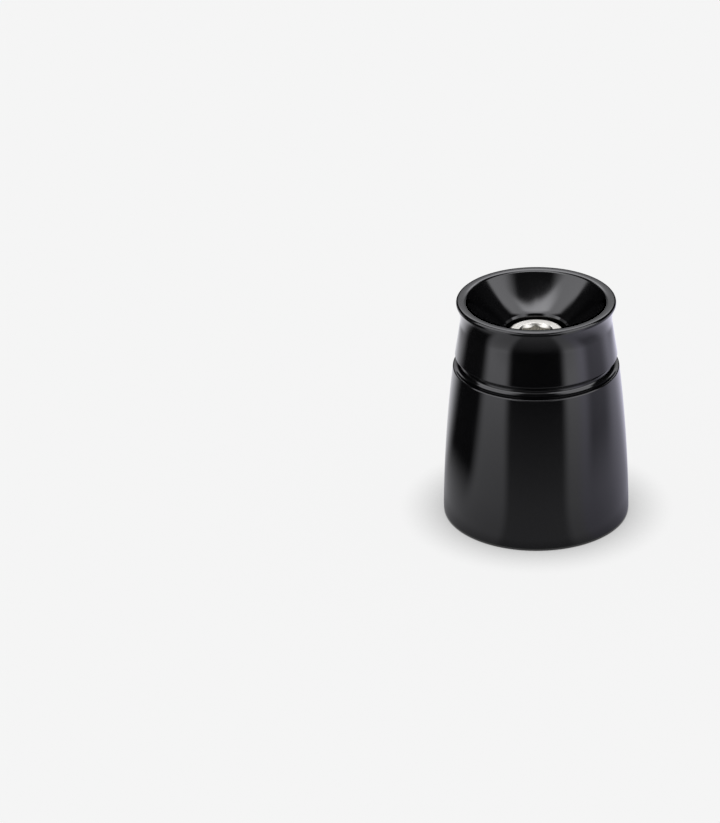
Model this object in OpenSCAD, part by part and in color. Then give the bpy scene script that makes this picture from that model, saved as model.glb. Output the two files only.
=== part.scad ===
// Bar end weight for a handlebar: one turned, black anodised body and its M6 socket cap screw.
// The origin is the centre of the wide rear face, which seats on the bar, and +Z runs out to the open cup.

/* [Rear section] */
// Length from the rear face to the groove
rear_len = 29.1; // [24:0.1:31]
// Diameter at the rear face
rear_d = 33.8; // [31.2:0.1:40]
// Diameter where the rear section meets the groove
shoulder_d = 29.8; // [29.2:0.1:33]
// How far the side swells outside a straight taper
belly = 0.38; // [0.05:0.01:0.8]
// Chamfer round the rear edge
rear_chamfer = 0.2; // [0.1:0.05:0.6]

/* [Groove] */
// Width of the round-bottomed groove
groove_w = 2.1; // [1.9:0.1:3]
// Depth of the groove below its two edges
groove_depth = 0.95; // [0.3:0.05:0.95]
// Chamfer on the edge beside the rear section
shoulder_chamfer = 0.2; // [0.1:0.05:0.4]
// Chamfer on the edge beside the front section
collar_chamfer = 0.2; // [0.1:0.05:0.4]

/* [Front section] */
// Length from the rear face to the rim
body_len = 41.8; // [38:0.1:60]
// Diameter where the front section meets the groove
collar_d = 29.1; // [28.4:0.1:32]
// Diameter of the neck under the rim
neck_d = 27.2; // [25.6:0.1:27.6]
// Distance from the rim down to the neck
neck_drop = 3.8; // [3.2:0.1:5]
// Radius of the hollow flare from the neck out to the rim
flare_r = 5.6; // [3:0.1:8]

/* [Rim and cup] */
// Outer diameter of the rim
rim_d = 28.4; // [28:0.1:31]
// Radius round the rim's outer edge
rim_round = 0.3; // [0.1:0.05:0.5]
// Width of the flat lip round the cup, with its rounded edge
lip_w = 1.7; // [1:0.1:2.4]
// Depth of the cup, from the rim to the mouth of the recess
cup_depth = 5.7; // [3:0.1:7]
// How far the cup's wall is hollowed behind a straight cone
cup_sag = 0.2; // [0.05:0.05:0.4]
// Bevel round the mouth of the screw recess
recess_bevel = 0.2; // [0.1:0.05:0.5]

/* [Screw] */
// Thread and shank diameter
screw_d = 6; // [5:0.5:8]
// Length under the head
screw_len = 40; // [35:1:60]
// Head diameter
head_d = 10; // [9:0.1:13]
// Head height
head_h = 6; // [4:0.1:8]
// Radius round the top of the head
head_round = 0.6; // [0.2:0.05:1]
// Hexagon socket, across its flats
socket_af = 5; // [3:0.5:6]
// Depth of the hexagon socket
socket_depth = 3; // [2:0.1:3.5]
// Width of the chamfer beyond the corners of the socket
socket_chamfer = 0.15; // [0.05:0.05:0.4]
// Chamfer at the tip of the thread
tip_chamfer = 0.9; // [0.4:0.1:1.4]

/* [Screw seat] */
// Gap between the head and the side of its recess
head_clear = 0.6; // [0.2:0.05:1]
// Gap between the shank and the through hole
shank_clear = 0.3; // [0.1:0.05:0.6]
// Depth of the head's top below the mouth of the recess
head_sink = 0.4; // [0:0.1:2]
// Chamfer of the through hole at the rear face
bore_chamfer = 0.6; // [0.2:0.1:1.2]

/* [Hidden] */
// Segments of a full turn, of a small edge arc and of the wide arcs of the side and the cup
$fn = 180;
EDGE_FN = 48;
BELLY_FN = 1440;
// Overlap that keeps cuts clean
eps = 0.02;

rear_r = rear_d / 2;
shoulder_r = shoulder_d / 2;
collar_r = collar_d / 2;
neck_r = neck_d / 2;
rim_r = rim_d / 2;
collar_z = rear_len + groove_w;
neck_z = body_len - neck_drop;
cup_r = rim_r - lip_w;
recess_r = head_d / 2 + head_clear;
recess_z = body_len - cup_depth;
head_top_z = recess_z - head_sink;
seat_z = head_top_z - head_h;
screw_r = screw_d / 2;
head_r = head_d / 2;
bore_r = screw_r + shank_clear;
tip_z = seat_z - screw_len;
// How far the cup's wall runs out for each millimetre of height
cup_slope = (cup_r - recess_r) / cup_depth;
// Cone that bevels the recess, half as wide in its slope as the cup, so that it ends inside the cup
bevel_h = 2 * recess_bevel + eps;
bevel_top_r = recess_r + bevel_h * cup_slope / 2;
socket_corner_r = socket_af / 2 / cos(30);
socket_mouth_r = socket_corner_r + socket_chamfer;
// Height of the cone that the drill leaves under the socket
drill_point = socket_af / 2 * tan(30);

// Unit vector from p to q, and the one a quarter turn to its right
function way(p, q) = (q - p) / norm(q - p);
function normal_of(v) = [v.y, -v.x];

// Ways along the section: into the metal, down the rear section and up the front section
INWARD = [-1, 0];
rear_way = way([shoulder_r, rear_len], [rear_r, 0]);
front_way = way([collar_r, collar_z], [neck_r, neck_z]);

// Radius of the circle through both ends of a chord that stands rise above the chord's middle
function arc_radius(chord, rise) = (chord * chord / 4 + rise * rise) / (2 * rise);

// Circle through p and q that bulges by rise to the right of the way from p to q
module chord_circle(p, q, rise, fn) {
    radius = arc_radius(norm(q - p), rise);
    translate((p + q) / 2 - normal_of(way(p, q)) * (radius - rise))
        circle(r = radius, $fn = fn);
}

// Cut that rounds an upper outer corner at p
module corner_round(p, r) {
    translate(p - [r, r])
        difference() {
            square(r + eps);
            circle(r = r, $fn = EDGE_FN);
        }
}

// Triangle that takes a chamfer of size c off the corner at p, between the ways a and b into the metal
module chamfer_cut(p, a, b, c) {
    out = -(a + b) / norm(a + b) * c;
    polygon([p + a * c, p + out, p + b * c]);
}

// Section of the long rear part: a taper that swells along one large arc
module rear_section() {
    intersection() {
        square([rear_r + belly, rear_len]);
        chord_circle([rear_r, 0], [shoulder_r, rear_len], belly, BELLY_FN);
    }
}

// Section of the front part: a taper to the neck, then a hollow flare out to the rim
module front_section() {
    polygon([[0, rear_len - eps], [collar_r, rear_len - eps], [collar_r, collar_z], [neck_r, neck_z],
        [0, neck_z + eps]]);
    difference() {
        translate([0, neck_z])
            square([rim_r, body_len - neck_z]);
        translate([neck_r, neck_z] + normal_of(front_way) * flare_r)
            circle(r = flare_r);
        corner_round([rim_r, body_len], rim_round);
    }
}

// Round groove and its two chamfered edges, as the part of the section that is cut away
module groove_section() {
    shoulder = [shoulder_r, rear_len];
    collar = [collar_r, collar_z];
    chord_circle(collar, shoulder, groove_depth, EDGE_FN);
    chamfer_cut(shoulder, INWARD, rear_way, shoulder_chamfer);
    chamfer_cut(collar, INWARD, front_way, collar_chamfer);
}

module body() color([0.07, 0.07, 0.08]) {
    difference() {
        rotate_extrude()
            difference() {
                union() {
                    rear_section();
                    front_section();
                }
                groove_section();
                chamfer_cut([rear_r, 0], INWARD, [0, 1], rear_chamfer);
            }
        rotate_extrude()
            cup_section();
        // Recess for the screw head, with a bevelled mouth
        translate([0, 0, seat_z])
            cylinder(r = recess_r, h = recess_z - seat_z + eps);
        translate([0, 0, recess_z - recess_bevel])
            cylinder(r1 = recess_r, r2 = bevel_top_r, h = bevel_h);
        // Through hole for the shank
        translate([0, 0, -eps])
            cylinder(r = bore_r, h = seat_z + 2 * eps);
        translate([0, 0, -eps])
            cylinder(r1 = bore_r + bore_chamfer + eps, r2 = bore_r, h = bore_chamfer + eps);
    }
}

// Section of the cup, from the inner edge of the lip down to the recess, as a part that is cut away
module cup_section() {
    intersection() {
        translate([0, recess_z])
            square([rim_r, cup_depth + eps]);
        chord_circle([recess_r, recess_z], [cup_r, body_len], cup_sag, BELLY_FN);
    }
}

// Section of the screw: shank with a chamfered tip, and a head with a rounded top edge.
module screw_section() {
    polygon([[0, tip_z], [screw_r - tip_chamfer, tip_z], [screw_r, tip_z + tip_chamfer], [screw_r, seat_z + eps],
        [0, seat_z + eps]]);
    difference() {
        translate([0, seat_z])
            square([head_r, head_h]);
        corner_round([head_r, head_top_z], head_round);
    }
}

module screw() color([0.78, 0.77, 0.74]) {
    difference() {
        rotate_extrude()
            screw_section();
        // Hexagon socket with a drilled bottom and a chamfered mouth
        translate([0, 0, head_top_z - socket_depth])
            rotate(30)
                cylinder(r = socket_corner_r, h = socket_depth + eps, $fn = 6);
        translate([0, 0, head_top_z - socket_depth - drill_point])
            cylinder(r1 = 0, r2 = socket_af / 2, h = drill_point + eps);
        translate([0, 0, head_top_z - socket_mouth_r + socket_af / 2])
            cylinder(r1 = socket_af / 2, r2 = socket_mouth_r + eps, h = socket_mouth_r - socket_af / 2 + eps);
    }
}

body();
screw();
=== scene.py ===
"""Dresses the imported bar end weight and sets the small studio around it."""

import logging
import math
from dataclasses import dataclass, field
from enum import Enum

import bpy
from mathutils import Matrix, Vector


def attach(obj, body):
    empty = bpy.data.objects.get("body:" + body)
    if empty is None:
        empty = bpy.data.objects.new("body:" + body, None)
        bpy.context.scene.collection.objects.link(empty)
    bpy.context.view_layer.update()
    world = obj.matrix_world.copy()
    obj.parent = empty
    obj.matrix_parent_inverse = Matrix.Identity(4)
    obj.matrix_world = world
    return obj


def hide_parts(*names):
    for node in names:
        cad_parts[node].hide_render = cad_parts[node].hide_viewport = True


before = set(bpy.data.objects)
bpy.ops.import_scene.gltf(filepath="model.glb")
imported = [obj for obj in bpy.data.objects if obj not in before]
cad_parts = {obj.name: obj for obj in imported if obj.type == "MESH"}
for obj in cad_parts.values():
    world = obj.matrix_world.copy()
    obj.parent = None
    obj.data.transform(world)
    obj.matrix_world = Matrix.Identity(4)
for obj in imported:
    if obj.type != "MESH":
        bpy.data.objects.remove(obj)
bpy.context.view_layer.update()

LOG = logging.getLogger("bar_end_weight")
MM = 0.001
BODY = "root"

Point = tuple[float, float]
Span = tuple[float, float]
Flag = tuple[float, float, float, float]
Colour = tuple[float, float, float, float]


def srgb(code: str) -> Colour:
    """Turns an sRGB hex colour into linear light.

    Args:
        code: Colour such as "#C8C6C0".

    Returns:
        Linear red, green, blue and an alpha of 1.
    """
    parts = [int(code[i:i + 2], 16) / 255 for i in (1, 3, 5)]
    linear = [p / 12.92 if p <= 0.04045 else ((p + 0.055) / 1.055) ** 2.4 for p in parts]
    return (linear[0], linear[1], linear[2], 1.0)


def per_mm(size: float) -> float:
    """Texture scale at which one feature measures size millimetres."""
    return 1 / (size * MM)


def add_node(tree: bpy.types.NodeTree, kind: str, inputs: dict | None = None, **settings) -> bpy.types.Node:
    """Adds a node with its settings, values and links.

    Args:
        tree: Tree that gets the node.
        kind: Node type, such as "ShaderNodeMath".
        inputs: Plain values, output sockets or numbers of the tree, by input name or number.
        **settings: Properties of the node.

    Returns:
        The new node.
    """
    node = tree.nodes.new(kind)
    for name, value in settings.items():
        setattr(node, name, value)
    for key, value in (inputs or {}).items():
        source = value.socket if isinstance(value, Value) else value
        if isinstance(source, bpy.types.NodeSocket):
            tree.links.new(source, node.inputs[key])
        else:
            node.inputs[key].default_value = source
    return node


class Value:
    """Number that a node tree works out, so that sums in the tree read as plain arithmetic."""

    def __init__(self, socket: bpy.types.NodeSocket) -> None:
        """Keeps the output socket that carries the number."""
        self.socket = socket

    def step(self, operation: str, *others: "Value | float") -> "Value":
        """Adds one step of arithmetic to the tree.

        Args:
            operation: Name of the step, such as "MULTIPLY".
            *others: Further numbers that it takes.

        Returns:
            The result.
        """
        tree, inputs = self.socket.id_data, dict(enumerate((self, *others)))
        return Value(add_node(tree, "ShaderNodeMath", inputs, operation=operation).outputs[0])

    def __add__(self, other: "Value | float") -> "Value":
        """Sum of the two numbers."""
        return self.step("ADD", other)

    def __mul__(self, other: "Value | float") -> "Value":
        """Product of the two numbers."""
        return self.step("MULTIPLY", other)

    def __sub__(self, other: "Value | float") -> "Value":
        """This number less the other."""
        return self.step("SUBTRACT", other)

    def __rsub__(self, other: float) -> "Value":
        """The other number less this one."""
        return self.step("MULTIPLY_ADD", -1.0, other)

    def __truediv__(self, other: "Value | float") -> "Value":
        """This number over the other."""
        return self.step("DIVIDE", other)

    def __abs__(self) -> "Value":
        """Size of the number without its sign."""
        return self.step("ABSOLUTE")

    __radd__ = __add__
    __rmul__ = __mul__

    def most(self, *others: "Value | float") -> "Value":
        """Largest of this number and the others."""
        result = self
        for other in others:
            result = result.step("MAXIMUM", other)
        return result

    def fade(self, edges: Span) -> "Value":
        """Goes smoothly from 0 to 1 while this number goes from one edge to the other.

        Args:
            edges: Number at which the result is still 0, and the one from which it is 1.

        Returns:
            The result.
        """
        start, end = edges
        if start > end:
            return 1.0 - self.fade((end, start))
        inputs = {"Value": self, "From Min": start, "From Max": end}
        node = add_node(self.socket.id_data, "ShaderNodeMapRange", inputs, interpolation_type="SMOOTHSTEP")
        return Value(node.outputs[0])


def from_axis(x: Value, y: Value) -> Value:
    """Distance from the turning axis."""
    return (x * x + y * y).step("SQRT")


def new_material(name: str) -> tuple[bpy.types.Material, bpy.types.NodeTree]:
    """Makes an empty node material.

    Args:
        name: Name of the material and how it was finished.

    Returns:
        The material and its tree.
    """
    material = bpy.data.materials.new(name)
    material.use_nodes = True
    material.node_tree.nodes.clear()
    return material, material.node_tree


@dataclass(frozen=True)
class BlackAnodised:
    """Aluminium, turned, polished and black anodised.

    The clear oxide film is dyed black: next to no colour comes back from below it, and its smooth
    surface mirrors the studio faintly when seen square on and strongly at a grazing angle.
    """

    dye: str = "#040405"
    film_ior: float = 1.65
    roughness: float = 0.11
    smoother: float = 0.02
    rougher: float = 0.03
    # Turning marks stand about 0.1 mm apart, too fine to show, so they are drawn coarser
    ring_mm: float = 0.45
    ripple_mm: float = 0.0004
    haze_mm: float = 6.0

    def material(self) -> bpy.types.Material:
        """Builds the material.

        Returns:
            The finished material.
        """
        material, tree = new_material("black_anodised_turned_aluminium")
        place = add_node(tree, "ShaderNodeTexCoord").outputs["Object"]
        x, y, z = map(Value, add_node(tree, "ShaderNodeSeparateXYZ", {"Vector": place}).outputs)
        # Turning marks are rings, so their pattern reads the distance from the axis and the height
        ring_place = add_node(tree, "ShaderNodeCombineXYZ", {"X": from_axis(x, y), "Z": z}).outputs[0]
        rings = add_node(tree, "ShaderNodeTexNoise", {
            "Vector": ring_place, "Scale": per_mm(self.ring_mm), "Detail": 3.0, "Roughness": 0.6})
        haze = add_node(tree, "ShaderNodeTexNoise", {
            "Vector": place, "Scale": per_mm(self.haze_mm), "Detail": 4.0, "Roughness": 0.55})
        rough = add_node(tree, "ShaderNodeMapRange", {
            "Value": haze.outputs["Fac"], "From Min": 0.3, "From Max": 0.7,
            "To Min": self.roughness - self.smoother, "To Max": self.roughness + self.rougher})
        bump = add_node(tree, "ShaderNodeBump", {
            "Height": rings.outputs["Fac"], "Strength": 1.0, "Distance": self.ripple_mm * MM})
        shader = add_node(tree, "ShaderNodeBsdfPrincipled", {
            "Base Color": srgb(self.dye), "Roughness": rough.outputs[0],
            "IOR": self.film_ior, "Normal": bump.outputs[0]})
        add_node(tree, "ShaderNodeOutputMaterial", {"Surface": shader.outputs[0]})
        return material


@dataclass(frozen=True)
class SatinStainless:
    """Stainless steel, cold headed and tumbled.

    A pale warm grey metal whose fine dents and haze break its reflections into soft patches.
    """

    steel: str = "#DEDCD6"
    shade: str = "#B8B5AD"
    roughness: float = 0.28
    smoother: float = 0.05
    rougher: float = 0.08
    # Dents from tumbling are about 0.1 mm wide, too fine to show, so they are drawn coarser
    grain_mm: float = 0.35
    dent_mm: float = 0.006
    haze_mm: float = 1.4

    def material(self) -> bpy.types.Material:
        """Builds the material.

        Returns:
            The finished material.
        """
        material, tree = new_material("satin_stainless_steel_cold_headed")
        place = add_node(tree, "ShaderNodeTexCoord").outputs["Object"]
        grain = add_node(tree, "ShaderNodeTexNoise", {
            "Vector": place, "Scale": per_mm(self.grain_mm), "Detail": 5.0, "Roughness": 0.6})
        haze = add_node(tree, "ShaderNodeTexNoise", {
            "Vector": place, "Scale": per_mm(self.haze_mm), "Detail": 3.0, "Roughness": 0.5})
        colour = add_node(tree, "ShaderNodeMix", {
            "Factor": haze.outputs["Fac"], "A": srgb(self.steel), "B": srgb(self.shade)}, data_type="RGBA")
        rough = add_node(tree, "ShaderNodeMapRange", {
            "Value": haze.outputs["Fac"], "From Min": 0.3, "From Max": 0.7,
            "To Min": self.roughness - self.smoother, "To Max": self.roughness + self.rougher})
        bump = add_node(tree, "ShaderNodeBump", {
            "Height": grain.outputs["Fac"], "Strength": 1.0, "Distance": self.dent_mm * MM})
        shader = add_node(tree, "ShaderNodeBsdfPrincipled", {
            "Base Color": colour.outputs["Result"], "Metallic": 1.0, "Roughness": rough.outputs[0],
            "Normal": bump.outputs[0]})
        add_node(tree, "ShaderNodeOutputMaterial", {"Surface": shader.outputs[0]})
        return material


@dataclass(frozen=True)
class WhitePaper:
    """Matt white backdrop paper, which shows a mostly painted soft shadow and stays an even pale grey
    elsewhere.
    """

    shown: str = "#F5F5F5"
    albedo: float = 0.91
    fleck: float = 0.005
    # Paper fibres are a few hundredths of a millimetre wide, too fine to show, so they are drawn coarser
    fibre_mm: float = 0.8
    matt_share: float = 0.05
    painted_shadow_mm: float = 8.5
    painted_shadow_depth: float = 0.8
    painted_shadow_samples: int = 4

    def material(self) -> bpy.types.Material:
        """Builds the material.

        Returns:
            The finished material.
        """
        material, tree = new_material("matt_white_backdrop_paper")
        rays = add_node(tree, "ShaderNodeLightPath").outputs
        camera, glossy, through = (
            Value(rays[name]) for name in ("Is Camera Ray", "Is Glossy Ray", "Is Transmission Ray"))
        place = add_node(tree, "ShaderNodeTexCoord").outputs["Object"]
        fibre = add_node(tree, "ShaderNodeTexNoise", {
            "Vector": place, "Scale": per_mm(self.fibre_mm), "Detail": 3.0})
        grey = add_node(tree, "ShaderNodeMapRange", {
            "Value": fibre.outputs["Fac"],
            "To Min": self.albedo - self.fleck, "To Max": self.albedo + self.fleck})
        matt = add_node(tree, "ShaderNodeBsdfDiffuse", {"Color": grey.outputs[0]})
        # The soft shadow where the object meets the paper: painted, by dimming the paper's glow where the
        # object stands close, with a faint real shadow from the matt share
        open_sky = add_node(tree, "ShaderNodeAmbientOcclusion", {
            "Distance": self.painted_shadow_mm * MM}, samples=self.painted_shadow_samples)
        strength = Value(open_sky.outputs["AO"]) * self.painted_shadow_depth + (1 - self.painted_shadow_depth)
        glow = add_node(tree, "ShaderNodeEmission", {"Color": srgb(self.shown), "Strength": strength})
        share = camera.most(glossy, through) * (1 - self.matt_share)
        surface = add_node(tree, "ShaderNodeMixShader", {0: share, 1: matt.outputs[0], 2: glow.outputs[0]})
        add_node(tree, "ShaderNodeOutputMaterial", {"Surface": surface.outputs[0]})
        return material


class Ends(Enum):
    """How a lathed skin closes."""

    RING = "ring"
    POLES = "poles"


@dataclass
class Section:
    """Outline of a turned piece: distance from the axis and height, in millimetres."""

    points: list[Point] = field(default_factory=list)

    def to(self, *points: Point) -> None:
        """Goes straight to each point in turn."""
        self.points.extend(points)

    def swell(self, start: Point, end: Point, rise: float, steps: int) -> None:
        """Goes from start to end on a shallow arc that stands rise to the right of the chord.

        Args:
            start: First point of the arc.
            end: Last point of the arc.
            rise: Height of the arc over its chord, negative for an arc to the left.
            steps: Number of straight steps.
        """
        a, b = Vector(start), Vector(end)
        chord = b - a
        radius = (chord.length_squared / 4 + rise * rise) / (2 * abs(rise))
        side = Vector((chord.y, -chord.x)).normalized() * math.copysign(1, rise)
        centre = (a + b) / 2 - side * (radius - abs(rise))
        half = math.asin(chord.length / 2 / radius)
        for i in range(steps + 1):
            turn = half * (2 * i / steps - 1)
            out = side * math.cos(turn) + chord.normalized() * math.sin(turn)
            self.points.append(tuple(centre + out * radius))

    def arc(self, centre: Point, radius: float, start: float, end: float, steps: int) -> None:
        """Goes round a centre from one angle to another, in degrees.

        Args:
            centre: Centre of the arc.
            radius: Its radius.
            start: Angle of its first point.
            end: Angle of its last point.
            steps: Number of straight steps.
        """
        for i in range(steps + 1):
            turn = math.radians(start + (end - start) * i / steps)
            self.points.append((centre[0] + radius * math.cos(turn), centre[1] + radius * math.sin(turn)))

    def corner(self, before: Point, at: Point, after: Point, radius: float, steps: int = 6,
               flat: float = 0.35) -> None:
        """Rounds a corner, with a narrow flat either side of the curve that keeps the faces flat.

        Args:
            before: Point that the outline comes from.
            at: The sharp corner.
            after: Point that the outline goes to.
            radius: Radius of the round.
            steps: Number of straight steps.
            flat: Width of either flat, as a share of the radius.
        """
        p = Vector(at)
        a, b = (Vector(before) - p).normalized(), (Vector(after) - p).normalized()
        half = a.angle(b) / 2
        reach = radius / math.tan(half)
        middle = (a + b).normalized()
        centre = p + middle * (radius / math.sin(half))
        first, last = p + a * reach, p + b * reach
        margin = flat * radius
        self.points.append(tuple(first + a * margin))
        u, v = first - centre, last - centre
        sweep = u.angle(v)
        for i in range(steps + 1):
            t = i / steps
            share_u, share_v = (math.sin(part * sweep) / math.sin(sweep) for part in (1 - t, t))
            self.points.append(tuple(centre + (u * share_u + v * share_v)))
        self.points.append(tuple(last + b * margin))


def skin(name: str, rings: list[list[Vector]], ends: Ends,
         poles: tuple[float, float] = (0, 0)) -> bpy.types.Mesh:
    """Joins rings of equal length into a closed skin.

    Args:
        name: Name of the mesh.
        rings: Rings of points in millimetres, each anticlockwise seen from above.
        ends: Whether the last ring joins the first one, or each end closes at a pole on the axis.
        poles: Heights of the first and the last pole.

    Returns:
        The mesh in metres, with its faces outwards.
    """
    count = len(rings[0])
    vertices = [p * MM for ring in rings for p in ring]
    faces: list[tuple[int, ...]] = []
    pairs = [(i, i + 1) for i in range(len(rings) - 1)]
    if ends is Ends.RING:
        pairs.append((len(rings) - 1, 0))
    for a, b in pairs:
        for j in range(count):
            k = (j + 1) % count
            faces.append((a * count + j, a * count + k, b * count + k, b * count + j))
    if ends is Ends.POLES:
        first, last = len(vertices), len(vertices) + 1
        vertices += [Vector((0, 0, poles[0] * MM)), Vector((0, 0, poles[1] * MM))]
        top = (len(rings) - 1) * count
        for j in range(count):
            k = (j + 1) % count
            faces.append((first, k, j))
            faces.append((last, top + j, top + k))
    mesh = bpy.data.meshes.new(name)
    mesh.from_pydata([tuple(v) for v in vertices], [], faces)
    mesh.validate()
    return mesh


def turns_round(count: int) -> list[float]:
    """Angles of evenly spaced points round the axis, in radians."""
    return [2 * math.pi * j / count for j in range(count)]


def circle_ring(radius: float, height: float, count: int) -> list[Vector]:
    """Round ring of points in millimetres."""
    return [Vector((radius * math.cos(t), radius * math.sin(t), height)) for t in turns_round(count)]


def flat_disc(name: str, radii: tuple[float, ...], height: float, count: int) -> bpy.types.Mesh:
    """Makes a flat disc with a round hole, which faces up.

    Args:
        name: Name of the mesh.
        radii: Radii of its rings in millimetres, from the hole outwards.
        height: Height at which it lies, in millimetres.
        count: Number of points round each ring.

    Returns:
        The mesh in metres.
    """
    vertices = [tuple(p * MM) for r in radii for p in circle_ring(r, height, count)]
    faces = []
    for i in range(len(radii) - 1):
        for j in range(count):
            k = (j + 1) % count
            faces.append((i * count + j, (i + 1) * count + j, (i + 1) * count + k, i * count + k))
    mesh = bpy.data.meshes.new(name)
    mesh.from_pydata(vertices, [], faces)
    return mesh


def make_object(name: str, mesh: bpy.types.Mesh, material: bpy.types.Material) -> bpy.types.Object:
    """Puts a mesh in the scene at the origin.

    Args:
        name: Name of the piece.
        mesh: Its mesh, already in place.
        material: Its finish.

    Returns:
        The new object.
    """
    mesh.materials.clear()
    mesh.materials.append(material)
    piece = bpy.data.objects.new(name, mesh)
    bpy.context.scene.collection.objects.link(piece)
    return piece


def soften(mesh: bpy.types.Mesh, sharp_degrees: float) -> None:
    """Shades a mesh smooth, apart from edges that turn more than the given angle."""
    mesh.shade_smooth()
    mesh.set_sharp_from_angle(angle=math.radians(sharp_degrees))


def dress(piece: bpy.types.Object, node: str) -> None:
    """Lets a piece ride on the body in place of its CAD node.

    Args:
        piece: Finished piece.
        node: Name of the CAD node.
    """
    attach(piece, BODY)
    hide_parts(node)
    LOG.info("%s: %d faces", piece.name, len(piece.data.polygons))


@dataclass
class TurnedBody:
    """The one turned piece: swelling taper, round groove, waisted neck, flared rim and cup.

    Sizes are in millimetres. Those that end in round are radii of its edges, and those that end in
    steps are numbers of straight steps along a curve.
    """

    rear_r: float = 16.9
    rear_len: float = 29.1
    shoulder_r: float = 14.9
    belly: float = 0.38
    collar_r: float = 14.55
    collar_z: float = 31.2
    groove_ledge: float = 0.55
    groove_depth: float = 1.0
    neck_r: float = 13.6
    neck_z: float = 37.3
    flare_r: float = 6.3
    rim_r: float = 14.2
    length: float = 41.8
    lip_crown: float = 0.03
    cup_r: float = 12.5
    cup_sag: float = 0.2
    recess_r: float = 5.6
    recess_z: float = 36.1
    recess_bevel: float = 0.2
    seat_z: float = 29.7
    bore_r: float = 3.3
    bore_chamfer: float = 0.6
    bore_round: float = 0.12
    rear_round: float = 0.22
    shoulder_round: float = 0.25
    collar_round: float = 0.22
    rim_round: float = 0.2
    lip_round: float = 0.45
    mouth_round: float = 1.0
    bevel_round: float = 0.05
    seat_round: float = 0.2
    hole_round: float = 0.08
    side_steps: int = 56
    groove_steps: int = 28
    flare_steps: int = 26
    crown_steps: int = 12
    cup_steps: int = 24
    bevel_steps: int = 3
    rim_steps: int = 4
    lip_steps: int = 8
    neck_shares: tuple[float, ...] = (0.1, 0.3, 0.5, 0.7, 0.85, 0.95)
    narrow_flat: float = 0.1
    around: int = 320
    sharp_degrees: float = 40.0

    def section(self) -> Section:
        """Draws the outline of the body, once round through its bore.

        Returns:
            The closed outline, whose last point joins its first.
        """
        s = Section()
        rear, shoulder = (self.rear_r, 0.0), (self.shoulder_r, self.rear_len)
        collar, neck = (self.collar_r, self.collar_z), (self.neck_r, self.neck_z)
        bore_low = (self.bore_r + self.bore_chamfer, 0.0)
        bore_mouth, bore_top = (self.bore_r, self.bore_chamfer), (self.bore_r, self.seat_z)
        s.corner(bore_mouth, bore_low, rear, self.bore_round)
        s.corner(bore_low, rear, shoulder, self.rear_round)
        side = Section()
        side.swell(rear, shoulder, self.belly, self.side_steps)
        s.to(*side.points[2:-1])
        # The groove starts with a narrow flat ledge beside the rear section
        ledge = (self.shoulder_r - self.groove_ledge, self.rear_len)
        groove = Section()
        groove.swell(ledge, collar, -self.groove_depth, self.groove_steps)
        s.corner(side.points[-2], shoulder, ledge, self.shoulder_round, flat=self.narrow_flat)
        s.to(*groove.points[:-4])
        s.corner(groove.points[-4], collar, neck, self.collar_round)
        # The neck tapers straight, then runs smoothly into the hollow flare
        s.to(*(tuple(Vector(collar).lerp(Vector(neck), share)) for share in self.neck_shares))
        way = (Vector(neck) - Vector(collar)).normalized()
        tilt = math.degrees(math.atan2(-way.x, way.y))
        centre = Vector(neck) + Vector((way.y, -way.x)) * self.flare_r
        reach = math.degrees(math.acos((centre.x - self.rim_r) / self.flare_r))
        flare = Section()
        flare.arc(tuple(centre), self.flare_r, 180 + tilt, 180 - reach, self.flare_steps)
        s.to(*flare.points[:-4])
        # The lip is slightly crowned, and rounds softly into the cup
        lip_z = self.length - self.lip_crown
        edge, lip, mouth = flare.points[-1], (self.rim_r, lip_z), (self.cup_r, lip_z)
        crown = Section()
        crown.swell(lip, mouth, self.lip_crown, self.crown_steps)
        s.corner(flare.points[-4], edge, lip, self.rim_round, self.rim_steps, self.narrow_flat)
        s.corner(edge, lip, crown.points[3], self.lip_round, self.lip_steps, self.narrow_flat)
        s.to(*crown.points[5:-4])
        cup = Section()
        cup.swell(mouth, (self.recess_r, self.recess_z), -self.cup_sag, self.cup_steps)
        s.corner(crown.points[-5], mouth, cup.points[2], self.mouth_round, self.lip_steps, self.narrow_flat)
        s.to(*cup.points[2:-2])
        # The recess for the screw's head, with a bevelled mouth, and the hole through its floor
        slope = (self.cup_r - self.recess_r) / (self.length - self.recess_z)
        bevel_top = (self.recess_r + slope * self.recess_bevel, self.recess_z + self.recess_bevel)
        bevel_low = (self.recess_r, self.recess_z - self.recess_bevel)
        seat = (self.recess_r, self.seat_z)
        s.corner(cup.points[-3], bevel_top, bevel_low, self.bevel_round, self.bevel_steps)
        s.corner(bevel_top, bevel_low, seat, self.bevel_round, self.bevel_steps)
        s.corner(bevel_low, seat, bore_top, self.seat_round)
        s.corner(seat, bore_top, bore_mouth, self.hole_round)
        s.corner(bore_top, bore_mouth, bore_low, self.hole_round)
        return s

    def build(self, finish: BlackAnodised) -> bpy.types.Object:
        """Turns the section and dresses the piece.

        Args:
            finish: Its finish.

        Returns:
            The finished piece.
        """
        rings = [circle_ring(r, z, self.around) for r, z in self.section().points]
        mesh = skin("turned_body", rings, Ends.RING)
        soften(mesh, self.sharp_degrees)
        piece = make_object("turned_body", mesh, finish.material())
        dress(piece, "body")
        return piece


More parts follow.
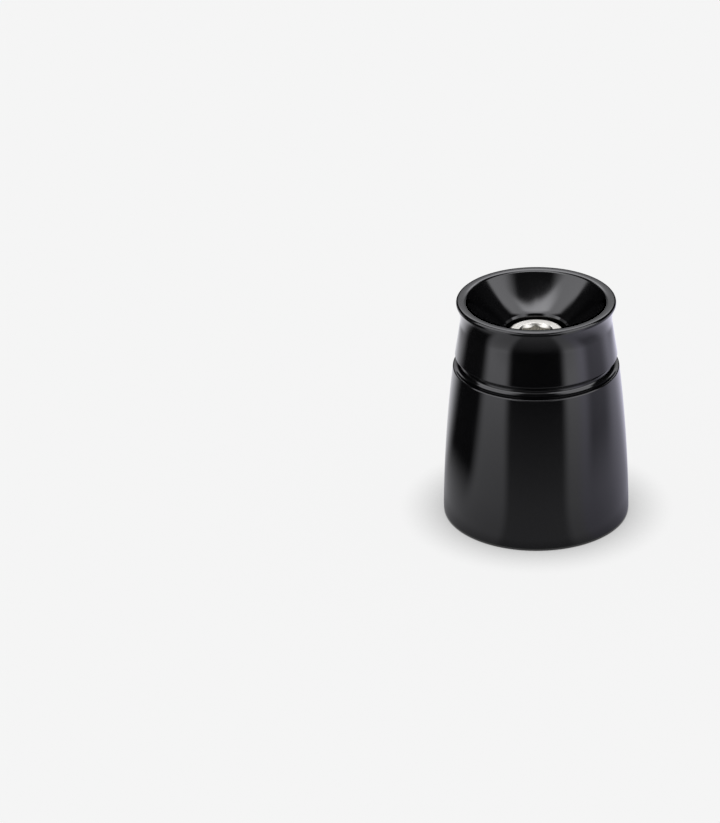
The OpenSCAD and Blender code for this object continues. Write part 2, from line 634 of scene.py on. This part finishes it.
@dataclass
class SocketScrew:
    """Cap screw with a hexagon socket, whose tip stands out of the rear face.

    Sizes are in millimetres. The steps down the socket are pairs: a distance towards or from the
    axis, and a height over the head's top or the socket's floor.
    """

    radius: float = 3.0
    tip_z: float = -10.3
    tip_chamfer: float = 0.9
    tip_round: float = 0.12
    tip_flat_share: float = 0.5
    thread_len: float = 24.0
    thread_start: float = 0.2
    pitch: float = 1.0
    depth_share: float = 0.6134
    crest_share: float = 0.125
    root_share: float = 0.25
    least_r: float = 0.01
    seat_z: float = 29.7
    under_round: float = 0.25
    head_r: float = 5.0
    head_top: float = 35.7
    head_edge: float = 0.15
    head_round: float = 0.6
    head_steps: int = 10
    socket_af: float = 5.0
    socket_depth: float = 3.0
    socket_chamfer: float = 0.15
    mouth_steps: tuple[Point, ...] = ((0.5, 0.0), (0.12, 0.0), (0.04, -0.005), (0.0, -0.03))
    wall_steps: tuple[Point, ...] = ((-0.02, 0.02), (0.0, -0.03))
    floor_steps: tuple[Point, ...] = ((0.0, 0.15), (0.05, 0.04), (0.16, 0.0))
    drill_steps: tuple[Point, ...] = ((0.2, -0.01), (0.3, -0.08))
    around: int = 96
    steps_per_pitch: int = 16
    sharp_degrees: float = 32.0

    def wall_r(self, turn: float) -> float:
        """Distance from the axis to the socket's wall, one of whose corners points at 30 degrees."""
        from_flat = ((turn + math.pi / 6) % (math.pi / 3)) - math.pi / 6
        return self.socket_af / 2 / math.cos(from_flat)

    def hexagon_ring(self, shrink: float, heights: list[float]) -> list[Vector]:
        """Makes a ring on the socket's wall.

        Args:
            shrink: How much closer to the axis it runs than the wall.
            heights: Height of each point of the ring.

        Returns:
            The ring in millimetres.
        """
        ring = []
        for turn, height in zip(turns_round(self.around), heights):
            r = self.wall_r(turn) - shrink
            ring.append(Vector((r * math.cos(turn), r * math.sin(turn), height)))
        return ring

    def shank_rings(self) -> list[list[Vector]]:
        """Makes the rings of the plain shank, close enough together for the thread.

        Returns:
            The rings, from the tip up.
        """
        tip_r = self.radius - self.tip_chamfer
        chamfer_top = (self.radius, self.tip_z + self.tip_chamfer)
        s = Section()
        s.to((tip_r * self.tip_flat_share, self.tip_z))
        s.corner((0, self.tip_z), (tip_r, self.tip_z), chamfer_top, self.tip_round)
        rings = [circle_ring(r, z, self.around) for r, z in s.points]
        z = self.tip_z + self.thread_start
        while z < self.tip_z + self.thread_len:
            r = min(self.radius, tip_r + z - self.tip_z)
            rings.append(circle_ring(r, z, self.around))
            z += self.pitch / self.steps_per_pitch
        return rings

    def head_rings(self) -> list[list[Vector]]:
        """Makes the rings of the head and of its socket.

        Returns:
            The rings, from under the head to the bottom of the socket.
        """
        mouth_r = self.socket_af / 2 / math.cos(math.pi / 6) + self.socket_chamfer
        thread_end, under = (self.radius, self.tip_z + self.thread_len), (self.radius, self.seat_z)
        low, high = (self.head_r, self.seat_z), (self.head_r, self.head_top)
        s = Section()
        s.corner(thread_end, under, low, self.under_round)
        s.corner(under, low, high, self.head_edge)
        s.corner(low, high, (0, self.head_top), self.head_round, self.head_steps)
        s.to(*((mouth_r + out, self.head_top + up) for out, up in self.mouth_steps))
        rings = [circle_ring(r, z, self.around) for r, z in s.points]
        # The round chamfer meets the six flat walls along curved edges
        mouth_low = self.head_top + self.mouth_steps[-1][1]
        edge = [mouth_low - (mouth_r - self.wall_r(turn)) for turn in turns_round(self.around)]
        floor = self.head_top - self.socket_depth
        rings += [self.hexagon_ring(inward, [z + up for z in edge]) for inward, up in self.wall_steps]
        rings += [self.hexagon_ring(inward, [floor + up] * self.around) for inward, up in self.floor_steps]
        rings += [circle_ring(self.socket_af / 2 - inward, floor + up, self.around)
                  for inward, up in self.drill_steps]
        return rings

    def thread_sizes(self) -> dict[str, float]:
        """Sizes of the thread in metres, by the names of the inputs that take them."""
        return {
            "Major Radius": self.radius * MM,
            "Pitch": self.pitch * MM,
            "Depth": self.depth_share * self.pitch * MM,
            "Run-out Height": (self.tip_z + self.thread_len) * MM,
        }

    def thread_tree(self, material: bpy.types.Material) -> bpy.types.NodeTree:
        """Builds the Geometry Nodes that cut a right-hand metric thread into the plain shank.

        Args:
            material: Finish of the screw.

        Returns:
            The tree, with the thread's sizes in metres as its inputs.
        """
        tree = bpy.data.node_groups.new("cut_metric_thread", "GeometryNodeTree")
        sockets = tree.interface
        sockets.new_socket("Geometry", in_out="INPUT", socket_type="NodeSocketGeometry")
        for name in self.thread_sizes():
            sockets.new_socket(name, in_out="INPUT", socket_type="NodeSocketFloat")
        sockets.new_socket("Geometry", in_out="OUTPUT", socket_type="NodeSocketGeometry")
        given = add_node(tree, "NodeGroupInput").outputs
        major, pitch, full_depth, run_out = (Value(given[name]) for name in self.thread_sizes())
        place = add_node(tree, "GeometryNodeInputPosition").outputs[0]
        x, y, z = map(Value, add_node(tree, "ShaderNodeSeparateXYZ", {0: place}).outputs)
        radius = from_axis(x, y)
        turn = y.step("ARCTAN2", x) / (2 * math.pi)
        phase = (z / pitch - turn).step("FRACT")
        # The crest and the root are flat, and the flanks between them are straight
        cut = add_node(tree, "ShaderNodeMapRange", {
            "Value": abs(phase * 2.0 - 1.0), "From Min": self.crest_share, "From Max": 1 - self.root_share})
        ending = ((run_out - z) / pitch).step("MAXIMUM", 0.0).step("MINIMUM", 1.0)
        limit = major - full_depth * ending * Value(cut.outputs[0])
        scale = radius.step("MINIMUM", limit) / radius.step("MAXIMUM", self.least_r * MM)
        moved = add_node(tree, "ShaderNodeCombineXYZ", {0: x * scale, 1: y * scale, 2: z}).outputs[0]
        shaped = add_node(tree, "GeometryNodeSetPosition", {
            "Geometry": given["Geometry"], "Selection": z.step("LESS_THAN", run_out), "Position": moved})
        real = add_node(tree, "GeometryNodeRealizeInstances", {"Geometry": shaped.outputs[0]})
        steel = add_node(tree, "GeometryNodeSetMaterial", {
            "Geometry": real.outputs[0], "Material": material})
        add_node(tree, "NodeGroupOutput", {"Geometry": steel.outputs[0]})
        return tree

    def build(self, finish: SatinStainless) -> bpy.types.Object:
        """Makes the plain screw, cuts its thread and dresses it.

        Args:
            finish: Its finish.

        Returns:
            The finished piece.
        """
        material = finish.material()
        drill_point = self.head_top - self.socket_depth - self.socket_af / 2 * math.tan(math.pi / 6)
        rings = self.shank_rings() + self.head_rings()
        mesh = skin("plain_screw", rings, Ends.POLES, (self.tip_z, drill_point))
        plain = make_object("plain_screw", mesh, material)
        tree = self.thread_tree(material)
        modifier = plain.modifiers.new("cut_thread", "NODES")
        modifier.node_group = tree
        sizes = self.thread_sizes()
        for item in tree.interface.items_tree:
            if item.in_out == "INPUT" and item.name in sizes:
                modifier[item.identifier] = sizes[item.name]
        baked = bpy.data.meshes.new_from_object(plain.evaluated_get(bpy.context.evaluated_depsgraph_get()))
        plain.modifiers.remove(modifier)
        bpy.data.objects.remove(plain)
        baked.name = "socket_screw"
        soften(baked, self.sharp_degrees)
        piece = make_object("socket_screw", baked, material)
        dress(piece, "screw")
        return piece


@dataclass(frozen=True)
class FloorCard:
    """The floor as the object's sides mirror it: pale, dimmer close by where the object's shadow is painted
    in, with soft dark flags on it.

    Distances from the object's axis are in millimetres, and angles in degrees from straight ahead
    of it, positive to its right. The four angles of a flag are where it starts, where it is full,
    where it is still full and where it ends.
    """

    left_flag: Flag = (-134.0, -110.0, -79.0, -64.0)
    left_distance: Span = (21.0, 48.0)
    left_depth: float = 0.985
    front_flag: Flag = (-43.5, -31.5, 31.5, 44.5)
    front_lift: float = 0.9
    front_lift_reach: float = 43.0
    right_flag: Flag = (64.0, 80.0, 100.0, 126.0)
    right_distance: Span = (30.0, 75.0)
    right_base: float = 0.05
    right_depth: float = 0.5
    narrowing: float = 0.5
    narrowing_reach: float = 45.0
    back_angles: Span = (115.0, 145.0)
    back_distance: Span = (80.0, 120.0)
    back_gain: float = 0.5
    back_loss: float = 1.15
    foot_shadow_distance: Span = (17.0, 21.0)
    foot_shadow_light: float = 0.7
    far_distance: Span = (200.0, 350.0)
    far_loss: float = 0.75
    open_light: float = 1.25
    open_rise: Span = (0.0047, 0.38)
    near_rise: Span = (0.0086, 0.24)
    least_light: float = 0.008
    cool_angles: Span = (50.0, 66.0)
    plain_light: Colour = (1.0, 1.0, 1.05, 1.0)
    cool_light: Colour = (1.0, 0.98, 1.17, 1.0)

    def flag(self, turn: Value, edges: Flag) -> Value:
        """Darkness of a flag with soft edges, from 0 to 1."""
        return turn.fade(edges[:2]) * turn.fade(edges[:1:-1])

    def dying(self, far: Value, reach: float) -> Value:
        """Dies away from 1 as the distance grows, by a factor e for each reach."""
        return (far / -reach).step("EXPONENT")

    def material(self) -> bpy.types.Material:
        """Builds the material.

        Returns:
            The finished material.
        """
        material, tree = new_material("floor_card_with_dark_flags")
        place = add_node(tree, "ShaderNodeTexCoord").outputs["Object"]
        x, y, _ = map(Value, add_node(tree, "ShaderNodeSeparateXYZ", {0: place}).outputs)
        far = from_axis(x, y) / MM
        turn = x.step("ARCTAN2", y * -1.0).step("DEGREES")
        left = self.flag(turn, self.left_flag) * far.fade(self.left_distance) * self.left_depth
        # Behind the object the floor is brighter close by and dim further off
        back_change = self.back_gain - self.back_loss * far.fade(self.back_distance)
        round_back = 1.0 + abs(turn).fade(self.back_angles) * back_change
        # Close to the object the flags are narrower, so that their edges stay upright in the sides
        turn = turn / (1.0 - self.narrowing * self.dying(far, self.narrowing_reach))
        front_depth = 1.0 - self.front_lift * self.dying(far, self.front_lift_reach)
        front = self.flag(turn, self.front_flag) * front_depth
        right_depth = self.right_base + self.right_depth * far.fade(self.right_distance)
        right = self.flag(turn, self.right_flag) * right_depth
        # Dimmer close to the object, and dimmer still at its foot: the object's shadow on the floor,
        # painted into the card
        open_slope, open_base = self.open_rise
        near_slope, near_base = self.near_rise
        pale = (open_slope * far + open_base).step("MINIMUM", self.open_light)
        pale = pale.step("MINIMUM", near_slope * far + near_base)
        foot = self.foot_shadow_light + (1 - self.foot_shadow_light) * far.fade(self.foot_shadow_distance)
        distant = 1.0 - self.far_loss * far.fade(self.far_distance)
        light = pale * round_back * foot * distant * (1.0 - front.most(left, right)) + self.least_light
        tint = add_node(tree, "ShaderNodeMix", {
            "Factor": turn.fade(self.cool_angles), "A": self.plain_light, "B": self.cool_light},
            data_type="RGBA")
        glow = add_node(tree, "ShaderNodeEmission", {"Color": tint.outputs["Result"], "Strength": light})
        add_node(tree, "ShaderNodeOutputMaterial", {"Surface": glow.outputs[0]})
        return material


@dataclass(frozen=True)
class SoftBoxRoom:
    """The room that the object mirrors: soft boxes with dark gaps, as light by direction.

    A direction has x to the right, y away from the camera and z up, and each pair of numbers is where
    a soft edge starts and ends. Sides are the same left and right, by the size of x.
    """

    low_z: Span = (0.5, 0.4)
    boxes_z: Span = (0.47, 0.58)
    boxes_gain: float = 0.9
    top_z: Span = (0.85, 0.985)
    top_y: Span = (0.06, -0.06)
    top_gain: float = 2.3
    lamps_side: Span = (0.25, 0.4)
    lamps_y: Span = (0.25, 0.1)
    lamps_gain: float = 1.2
    camera_side: Span = (0.35, 0.2)
    camera_y: Span = (0.05, -0.05)
    camera_depth: float = 0.5
    horizon_z: Span = (0.2, 0.06)
    horizon_depth: float = 0.8
    wall_y: Span = (0.4, 0.6)
    wall_z: Span = (0.33, 0.57)
    wall_gain: float = 1.5
    wall_loss: float = 0.75
    gap_left_x: Span = (-0.58, -0.28)
    gap_right_x: Span = (0.6, 0.36)
    gap_end: Span = (-0.14, -0.21)
    gap_slant: float = 0.15
    gap_z: Span = (0.25, 0.45)
    ceiling_edge: Span = (0.0, 0.12)
    ceiling_slant: float = 0.35
    ceiling_z: Span = (0.6, 0.7)
    ceiling_side: Span = (0.1, 0.28)
    wing_edge: Span = (0.53, 0.44)
    wing_slope: float = 0.74
    wing_slant: float = 0.05
    wing_side: Span = (0.3, 0.45)
    wing_z: Span = (-0.05, 0.05)
    wing_y: Span = (0.0, 0.15)
    dark_depth: float = 0.985
    colour: Colour = (1.0, 1.0, 1.04, 1.0)

    def boxes(self, x: Value, y: Value, z: Value) -> Value:
        """Adds the light of the soft boxes, the lamps and the back wall.

        Args:
            x: Direction to the right.
            y: Direction away from the camera.
            z: Direction upwards.

        Returns:
            Strength of the light from that direction.
        """
        side, low = abs(x), z.fade(self.low_z)
        light = 1.0 + self.boxes_gain * z.fade(self.boxes_z)
        light = light + self.top_gain * z.fade(self.top_z) * y.fade(self.top_y)
        # Low lamps left and right of the camera, which pick out the groove and the rounded edges
        light = light + self.lamps_gain * side.fade(self.lamps_side) * y.fade(self.lamps_y) * low
        # The boxes are weaker over the camera
        shade = self.camera_depth * side.fade(self.camera_side) * y.fade(self.camera_y) * low
        light = light * (1.0 - shade)
        # The room is dark along the horizon
        light = light * (1.0 - self.horizon_depth * z.fade(self.horizon_z))
        # The back wall grows brighter with height
        return light + y.fade(self.wall_y) * (self.wall_gain * z.fade(self.wall_z) - self.wall_loss)

    def darkness(self, x: Value, y: Value, z: Value) -> Value:
        """Adds the dark parts of the room.

        Args:
            x: Direction to the right.
            y: Direction away from the camera.
            z: Direction upwards.

        Returns:
            How dark it is in that direction, from 0 to 1.
        """
        side = abs(x)
        # Gap overhead, towards the camera, with a slanted end
        gap = x.fade(self.gap_left_x) * x.fade(self.gap_right_x) * z.fade(self.gap_z)
        gap = gap * (y - self.gap_slant * x - self.gap_slant * side).fade(self.gap_end)
        ceiling = (y - self.ceiling_slant * side).fade(self.ceiling_edge)
        ceiling = ceiling * z.fade(self.ceiling_z) * side.fade(self.ceiling_side)
        # Dark room behind, left and right of the bright back wall
        wing = (z - self.wing_slope * y - self.wing_slant * x).fade(self.wing_edge)
        wing = wing * side.fade(self.wing_side) * z.fade(self.wing_z) * y.fade(self.wing_y)
        return gap.most(wing, ceiling)

    def mirrored(self, tree: bpy.types.NodeTree) -> Value:
        """Adds what a mirror would show of the room.

        Args:
            tree: Tree of the world.

        Returns:
            Strength of the light by direction.
        """
        way = add_node(tree, "ShaderNodeTexCoord").outputs["Generated"]
        x, y, z = map(Value, add_node(tree, "ShaderNodeSeparateXYZ", {0: way}).outputs)
        return self.boxes(x, y, z) * (1.0 - self.dark_depth * self.darkness(x, y, z))


@dataclass
class Studio:
    """Pale paper floor and even light, with a floor card and soft boxes that only reflections see."""

    floor_radii: tuple[float, ...] = (3.6, 40.0, 200.0, 1000.0, 4000.0)
    card_radii: tuple[float, ...] = (16.95, 100.0, 400.0, 1500.0)
    card_z: float = 0.4
    around: int = 96
    backdrop: str = "#F5F5F5"

    def floor(self) -> None:
        """Lays the paper, with a hole for the screw's tip."""
        mesh = flat_disc("paper_floor", self.floor_radii, 0.0, self.around)
        piece = make_object("paper_floor", mesh, WhitePaper().material())

    def card(self) -> None:
        """Lays the card just over the paper, where only reflections see it."""
        mesh = flat_disc("floor_card", self.card_radii, self.card_z, self.around)
        piece = make_object("floor_card", mesh, FloorCard().material())
        piece.visible_camera = False
        piece.visible_diffuse = False
        piece.visible_shadow = False
        piece.visible_transmission = False

    def sky(self) -> None:
        """Lights the object evenly, with soft boxes in its reflections and a plain backdrop."""
        world = bpy.data.worlds.new("soft_boxes")
        bpy.context.scene.world = world
        world.use_nodes = True
        tree = world.node_tree
        tree.nodes.clear()
        rays = add_node(tree, "ShaderNodeLightPath").outputs
        even = add_node(tree, "ShaderNodeBackground", {"Color": (1.0, 1.0, 1.0, 1.0), "Strength": 1.0})
        room = SoftBoxRoom()
        boxes = add_node(tree, "ShaderNodeBackground", {
            "Color": room.colour, "Strength": room.mirrored(tree)})
        shown = add_node(tree, "ShaderNodeBackground", {"Color": srgb(self.backdrop), "Strength": 1.0})
        lamp = add_node(tree, "ShaderNodeMixShader", {
            0: rays["Is Glossy Ray"], 1: even.outputs[0], 2: boxes.outputs[0]})
        mixed = add_node(tree, "ShaderNodeMixShader", {
            0: rays["Is Camera Ray"], 1: lamp.outputs[0], 2: shown.outputs[0]})
        add_node(tree, "ShaderNodeOutputWorld", {"Surface": mixed.outputs[0]})

    def build(self) -> None:
        """Sets floor, card and light."""
        self.floor()
        self.card()
        self.sky()
        bpy.context.scene.view_settings.view_transform = "Standard"


@dataclass
class PhotoCamera:
    """Camera with the photograph's place, angle and framing."""

    width_px: int = 720
    height_px: int = 823
    focal_px: float = 3200.0
    back_mm: float = 516.26
    height_mm: float = 281.24
    pitch_deg: float = 26.89
    axis_px: float = 536.0
    sensor_mm: float = 36.0
    nearest_m: float = 0.01
    furthest_m: float = 20.0

    def build(self) -> bpy.types.Object:
        """Makes the camera and sets it as the scene's own.

        Returns:
            The camera.
        """
        data = bpy.data.cameras.new("photo_camera")
        data.sensor_fit = "AUTO"
        data.sensor_width = self.sensor_mm
        data.lens = self.focal_px * self.sensor_mm / max(self.width_px, self.height_px)
        data.clip_start = self.nearest_m
        data.clip_end = self.furthest_m
        camera = bpy.data.objects.new("photo_camera", data)
        bpy.context.scene.collection.objects.link(camera)
        # A turn about the camera's own upright keeps the object's axis upright in the picture
        aside = math.atan((self.axis_px - self.width_px / 2) / self.focal_px)
        pose = Matrix.Translation(Vector((0, -self.back_mm, self.height_mm)) * MM)
        pose = pose @ Matrix.Rotation(math.radians(90 - self.pitch_deg), 4, "X")
        camera.matrix_world = pose @ Matrix.Rotation(aside, 4, "Y")
        bpy.context.scene.camera = camera
        return camera


def main() -> None:
    """Builds the camera, the two pieces and the studio."""
    logging.basicConfig(level=logging.INFO)
    PhotoCamera().build()
    TurnedBody().build(BlackAnodised())
    SocketScrew().build(SatinStainless())
    Studio().build()


if __name__ == "__main__":
    main()
